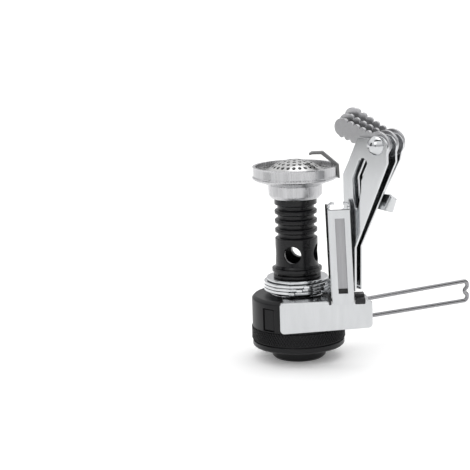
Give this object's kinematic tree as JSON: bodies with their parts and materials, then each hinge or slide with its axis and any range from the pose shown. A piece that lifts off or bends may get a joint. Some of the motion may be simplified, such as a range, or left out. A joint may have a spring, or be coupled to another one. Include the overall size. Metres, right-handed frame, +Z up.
{
  "type": "camping stove",
  "caption": "Folding canister camping stove with finned burner column, fanned toothed pot supports, guard channel, wire valve handle and push ignition.",
  "frame": {"origin": "column axis at the collar's lower face, where the gas canister screws in", "axes": "+Z up along the burner column; +X towards the side with the folded pot supports and the valve spindle; -Y towards the guard channel's front face"},
  "size_m": [0.0774, 0.0676, 0.0874],
  "materials": {
    "black_anodised": "black anodised, satin",
    "seal_rubber": "matt",
    "brass": "turned",
    "black_knurled": "black anodised, satin",
    "black_housing": "satin moulded",
    "brass_block": "turned",
    "brass_jet": "turned",
    "sintered_brass": "turned",
    "nickel_nut": "satin stainless steel",
    "piezo_body": "moulded",
    "black_button": "smooth moulded",
    "lead_sheath": "black silicone sleeve",
    "white_ceramic": "glazed ceramic",
    "spark_steel": "satin stainless steel",
    "polished_guard": "polished stainless steel",
    "dark_lug_left": "blackened steel",
    "dark_lug_right": "blackened steel",
    "pin_steel": "satin stainless steel",
    "polished_strut": "polished stainless steel",
    "satin_leaf": "satin stainless steel",
    "black_spacer": "black anodised, satin",
    "black_post": "black anodised, satin",
    "polished_ring": "polished stainless steel",
    "black_tube": "black anodised, satin",
    "satin_cup": "satin stainless steel",
    "gauze_steel": "satin stainless steel",
    "dome_steel": "satin stainless steel",
    "electrode_steel": "satin stainless steel",
    "polished_support_a": "polished stainless steel",
    "polished_support_b": "polished stainless steel",
    "polished_support_c": "polished stainless steel",
    "satin_grip_a": "satin stainless steel",
    "satin_grip_b": "satin stainless steel",
    "satin_grip_c": "satin stainless steel",
    "rivet_steel_a": "polished dome",
    "rivet_steel_b": "polished dome",
    "rivet_steel_c": "polished dome",
    "spindle_steel": "satin stainless steel",
    "head_steel": "satin stainless steel",
    "handle_wire": "bright drawn stainless wire"
  },
  "bodies": {
    "base": {"collar": "black_anodised", "seal_ring": "seal_rubber", "valve_pin": "brass", "base_disc": "black_knurled", "housing": "black_housing", "valve_block": "brass_block", "gas_jet": "brass_jet", "inlet_filter": "sintered_brass", "gland_nut": "nickel_nut", "piezo_module": "piezo_body", "ignition_lead": "lead_sheath", "insulator": "white_ceramic", "spark_pin": "spark_steel", "guard_channel": "polished_guard", "guard_lug_left": "dark_lug_left", "guard_lug_right": "dark_lug_right", "strut_pin": "pin_steel", "spacer": "black_spacer", "column_post": "black_post", "clamp_ring": "polished_ring", "burner_tube": "black_tube", "burner_cup": "satin_cup", "burner_gauze": "gauze_steel", "burner_dome": "dome_steel", "electrode": "electrode_steel", "support_a": "polished_support_a", "rivet_a": "rivet_steel_a"},
    "support_b": {"support_b": "polished_support_b", "rivet_b": "rivet_steel_b"},
    "support_c": {"support_c": "polished_support_c", "rivet_c": "rivet_steel_c"},
    "grip_a": {"grip_a": "satin_grip_a"},
    "grip_b": {"grip_b": "satin_grip_b"},
    "grip_c": {"grip_c": "satin_grip_c"},
    "strut": {"channel_strut": "polished_strut", "strut_leaf": "satin_leaf"},
    "button": {"ignition_button": "black_button"},
    "spindle": {"valve_spindle": "spindle_steel", "spindle_head": "head_steel"},
    "handle": {"wire_handle": "handle_wire"}
  },
  "joints": [
    {"name": "support_b_swing", "type": "hinge", "parent": "base", "child": "support_b", "pos_m": [0, 0, 0.0259], "axis": [0, 0, 1], "range_deg": [0, 113]},
    {"name": "support_c_swing", "type": "hinge", "parent": "base", "child": "support_c", "pos_m": [0, 0, 0.027], "axis": [0, 0, 1], "range_deg": [0, 226]},
    {"name": "grip_a_flip", "type": "hinge", "parent": "base", "child": "grip_a", "pos_m": [0.02758, -0.02314, 0.0763], "axis": [0.6428, 0.766, 0], "range_deg": [0, 150]},
    {"name": "grip_b_flip", "type": "hinge", "parent": "support_b", "child": "grip_b", "pos_m": [0.03019, -0.01961, 0.0763], "axis": [0.5446, 0.8387, 0], "range_deg": [0, 150]},
    {"name": "grip_c_flip", "type": "hinge", "parent": "support_c", "child": "grip_c", "pos_m": [0.03236, -0.01578, 0.0763], "axis": [0.4384, 0.8988, 0], "range_deg": [0, 150]},
    {"name": "strut_fold", "type": "hinge", "parent": "base", "child": "strut", "pos_m": [0.01027, -0.01949, 0.0236], "axis": [0.9959, 0.0906, 0], "range_deg": [0, 95]},
    {"name": "valve_turn", "type": "hinge", "parent": "base", "child": "spindle", "pos_m": [0, 0, 0.013], "axis": [0.8339, 0.5519, 0], "range_deg": [0, 540]},
    {"name": "handle_fold", "type": "hinge", "parent": "spindle", "child": "handle", "pos_m": [0.01918, 0.01269, 0.013], "axis": [0, 0, 1], "range_deg": [-30, 75]},
    {"name": "ignition_press", "type": "slide", "parent": "base", "child": "button", "axis": [0.6157, 0.788, 0], "range_m": [0, 0.003], "stiffness_N_per_m": 800}
  ],
  "couplings": [
    {"joint": "support_c_swing", "follows": "support_b_swing", "ratio": 2}
  ]
}
